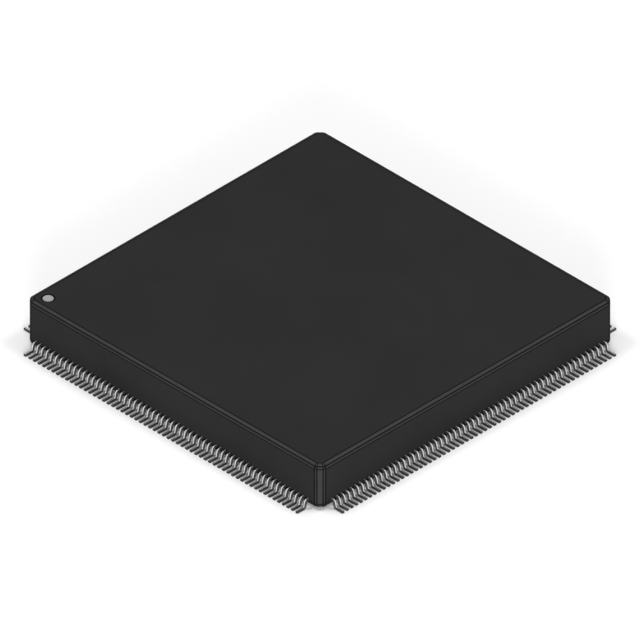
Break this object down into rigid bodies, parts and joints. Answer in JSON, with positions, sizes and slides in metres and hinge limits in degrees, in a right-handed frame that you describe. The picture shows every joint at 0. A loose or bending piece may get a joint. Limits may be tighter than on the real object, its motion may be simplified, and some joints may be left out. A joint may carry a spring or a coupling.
{
  "type": "quad flat package integrated circuit",
  "caption": "Square moulded integrated circuit with a row of fine gull-wing leads along each side and a pin one dot at one corner, for soldering flat to a board.",
  "frame": {"origin": "middle of the package on the plane of its solder feet", "axes": "+Z up out of the top face; seen from above with +X to the right and +Y up, pin one is at the upper left and its row runs down the -X side"},
  "size_m": [0.0346, 0.0346, 0.0042],
  "materials": {
    "mould_compound": "black filled epoxy, fine spark-eroded grain",
    "marking_ink": "matte pale grey ink",
    "tin_plate": "matte tin over copper alloy",
    "copper_alloy": "stamped copper alloy",
    "polyimide_tape": "amber film",
    "die_adhesive": "silver filled epoxy",
    "silicon": "polished silicon",
    "gold_wire": "drawn gold"
  },
  "bodies": {
    "root": {"mould_body": "mould_compound", "pin_one_dot": "marking_ink", "leads_left": "tin_plate", "leads_front": "tin_plate", "leads_right": "tin_plate", "leads_back": "tin_plate", "die_paddle": "copper_alloy", "lead_lock_tape": "polyimide_tape", "die_attach": "die_adhesive", "die": "silicon", "wires_left": "gold_wire", "wires_front": "gold_wire", "wires_right": "gold_wire", "wires_back": "gold_wire"}
  },
  "joints": []
}
